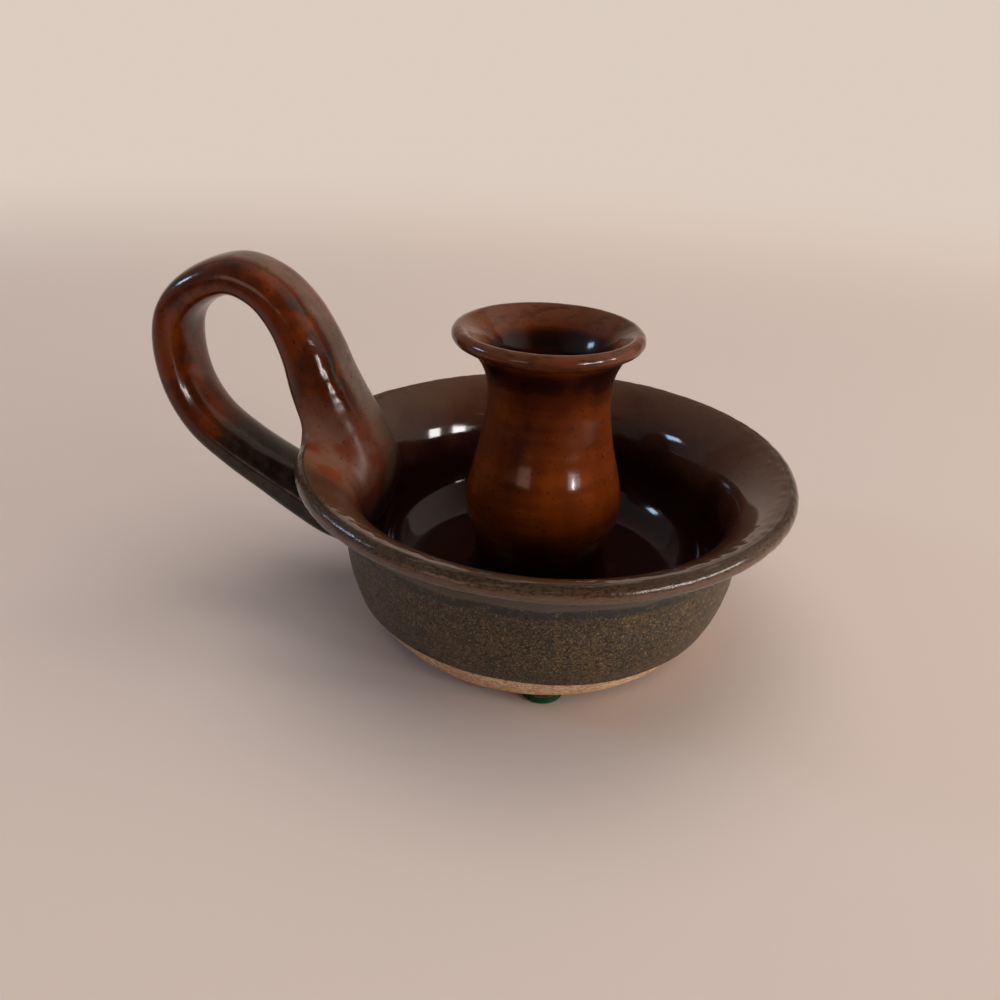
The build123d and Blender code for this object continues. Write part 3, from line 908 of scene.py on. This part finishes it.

# %% Add the root's glaze, painted shade and painted reflections, and finish the handle
colour = root_glaze_and_reflection(paint, colour, paint.mask("root"))
# painted shade: dark in the crease where the root meets the bowl
colour = paint.mix(paint.mask("deep"), colour, (0.022, 0.008, 0.005))
# painted reflection: a grey-green streak on the root's far flank
far_flank_glint = paint.product(paint.between(across_mm, 6.5, 8.5),
                          paint.band(along_mask, 0.06, 0.11, 0.20, 0.26), 0.6)
colour = paint.mix(far_flank_glint, colour, (0.085, 0.078, 0.062))
colour = iron_specks(paint, colour)
rough = paint.swap(paint.mask("rubbed"), paint.total(0.08, paint.product(cloud, 0.15)), 0.45)
paint.finish([handle], colour, rough, [(paint.noise(5, 2, shift=49), 0.10),
                                       (paint.noise(0.9, 2, shift=8), 0.012)])

# %% [markdown]
# ## Slip round the socket's foot
# The socket stands in a bed of slip, which was wiped round its foot with a wet finger. That leaves a
# small hollow curve between socket and bowl, and it is turned like the rest of the pot.

# %% Turn the slip
slip_points = [(0, 9.4), (12, 9.4), (20.6, 9.35), (21.8, 9.42), (21.0, 9.62), (19.4, 10.0),
               (18.3, 10.8), (17.6, 12.0), (17.3, 13.4), (16.9, 13.9), (16.2, 13.2), (16.0, 11.0),
               (15.2, 10.1), (8, 9.9), (0, 9.9)]
slip_line = spaced(smooth_line(slip_points), lambda places: np.where(places[:, 0] > 15, 0.3, 1.5))


def slip_push(points, rows):
    wiped = 0.1 * bumps(points, 5, 11) + 0.05 * bumps(points, 1.6, 12)
    return wiped * smoothstep(16.5, 17.6, round_axis(points)[0]), 0 * points


socket_slip = thrown("socket_foot_slip", slip_line, 240, slip_push)
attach(socket_slip, "root")
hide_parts("socket_slip_joint")
print("slip:", len(socket_slip.data.polygons), "faces")

# %% Paint the slip as dark as the glaze that pooled on it
paint = Paint("pooled_glaze", IOR=1.4)
colour = paint.mix(paint.between(paint.noise(5, 3), 0.4, 0.65),
                   (0.018, 0.004, 0.003), (0.008, 0.002, 0.002))
paint.finish([socket_slip], colour, paint.total(0.06, paint.product(paint.noise(2), 0.08)),
             [(paint.noise(3, 2, shift=5), 0.05)])

# %% [markdown]
# ## Felt pads
# Three felt discs under the foot keep the glaze off the table. Felt is pressed wool: its cut edge is
# soft and a little furry, so the disc's edge is round and finely uneven.

# %% Cut three felt discs
pad_radius, pad_height, pad_circle = 5.0, 1.8, 36.7
pad_points = [(0, 0), (3, 0), (4.5, 0.03), (4.88, 0.25), (pad_radius, 0.9), (pad_radius, 1.6),
              (4.93, 1.94), (4.76, 1.93), (4.55, pad_height), (3, pad_height), (0, pad_height)]
pad_line = spaced(smooth_line(pad_points), 0.14)


def pad_push(points, rows):
    edge = smoothstep(4.2, 4.8, round_axis(points)[0])
    furry = 0.10 * bumps(points, 0.5, 21) + 0.06 * bumps(points, 0.26, 22)
    return (furry + 0.08 * bumps(points, 3, 23)) * edge - 0.02, 0 * points


pads = []
for place, turn in (("front", 282), ("back_right", 42), ("back_left", 162)):
    centre = (pad_circle * math.cos(math.radians(turn)), pad_circle * math.sin(math.radians(turn)), 0)
    pad = thrown("felt_disc_" + place, pad_line, 160, pad_push, centre)
    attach(pad, "root")
    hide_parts("felt_pad_" + place)
    pads.append(pad)
    print(pad.name, "at", [round(v, 1) for v in centre])

# %% Paint the felt
paint = Paint("green_felt", Sheen_Weight=0.1, Sheen_Roughness=0.5, Specular_IOR_Level=0.05)
wool = paint.noise(0.35, 3, distortion=1.5)
colour = paint.mix(paint.between(wool, 0.38, 0.66), (0.0008, 0.014, 0.004), (0.004, 0.058, 0.019))
paint.finish(pads, colour, paint.total(0.85, paint.product(wool, 0.1)), [(wool, 0.12)])

# %% [markdown]
# ## Adhesive films
# Each pad sticks on by a film of adhesive that nobody sees from above. Its shape in the CAD model is
# right as it is, so it only gets a better material: a cloudy, slightly glossy film, darkened as painted
# shade.

# %% Paint the adhesive films dark, as painted shade
paint = Paint("adhesive_in_painted_shade", IOR=1.46, Specular_IOR_Level=0.4)
cloudy = paint.noise(1.6, 3)
# painted shade: the film is dark grey-green for the shadow under the foot
colour = paint.mix(paint.between(cloudy, 0.35, 0.65), (0.055, 0.06, 0.04), (0.11, 0.11, 0.08))
films = [bpy.data.objects[name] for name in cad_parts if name.startswith("pad_adhesive")]
paint.finish(films, colour, paint.total(0.3, paint.product(cloudy, 0.3)), [(cloudy, 0.02)])
